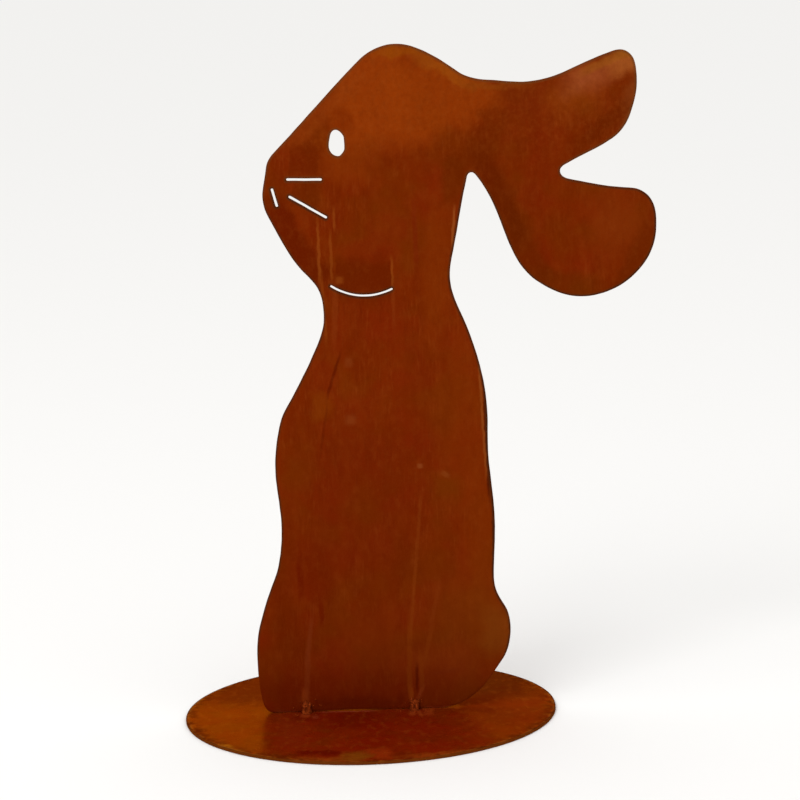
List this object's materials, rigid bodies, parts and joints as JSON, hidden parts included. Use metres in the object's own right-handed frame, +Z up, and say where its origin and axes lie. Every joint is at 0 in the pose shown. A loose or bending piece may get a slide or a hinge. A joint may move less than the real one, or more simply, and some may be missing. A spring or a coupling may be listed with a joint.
{
  "type": "rabbit garden ornament",
  "caption": "Garden silhouette of a sitting rabbit cut from rusted sheet steel, with gently rolled ears, tack-welded upright on a flat round base plate.",
  "frame": {"origin": "centre of the round base plate's underside, on the ground", "axes": "+Z up; the rabbit's sheet stands along X over the plate's diameter, nose towards -X and ears towards +X; -Y is the front, where the welds are"},
  "size_m": [0.3255, 0.25, 0.4508],
  "materials": {
    "rusted_sheet": "evenly rusted mild steel with a soft gloss, mottled orange, brown and dark red",
    "rusted_plate": "evenly rusted mild steel with a soft gloss, a little brighter at the rim",
    "rusted_weld": "rusted weld bead, duller and darker than the sheet"
  },
  "bodies": {
    "root": {"rabbit_sheet": "rusted_sheet", "base_plate": "rusted_plate", "weld_left": "rusted_weld", "weld_right": "rusted_weld"}
  },
  "joints": []
}
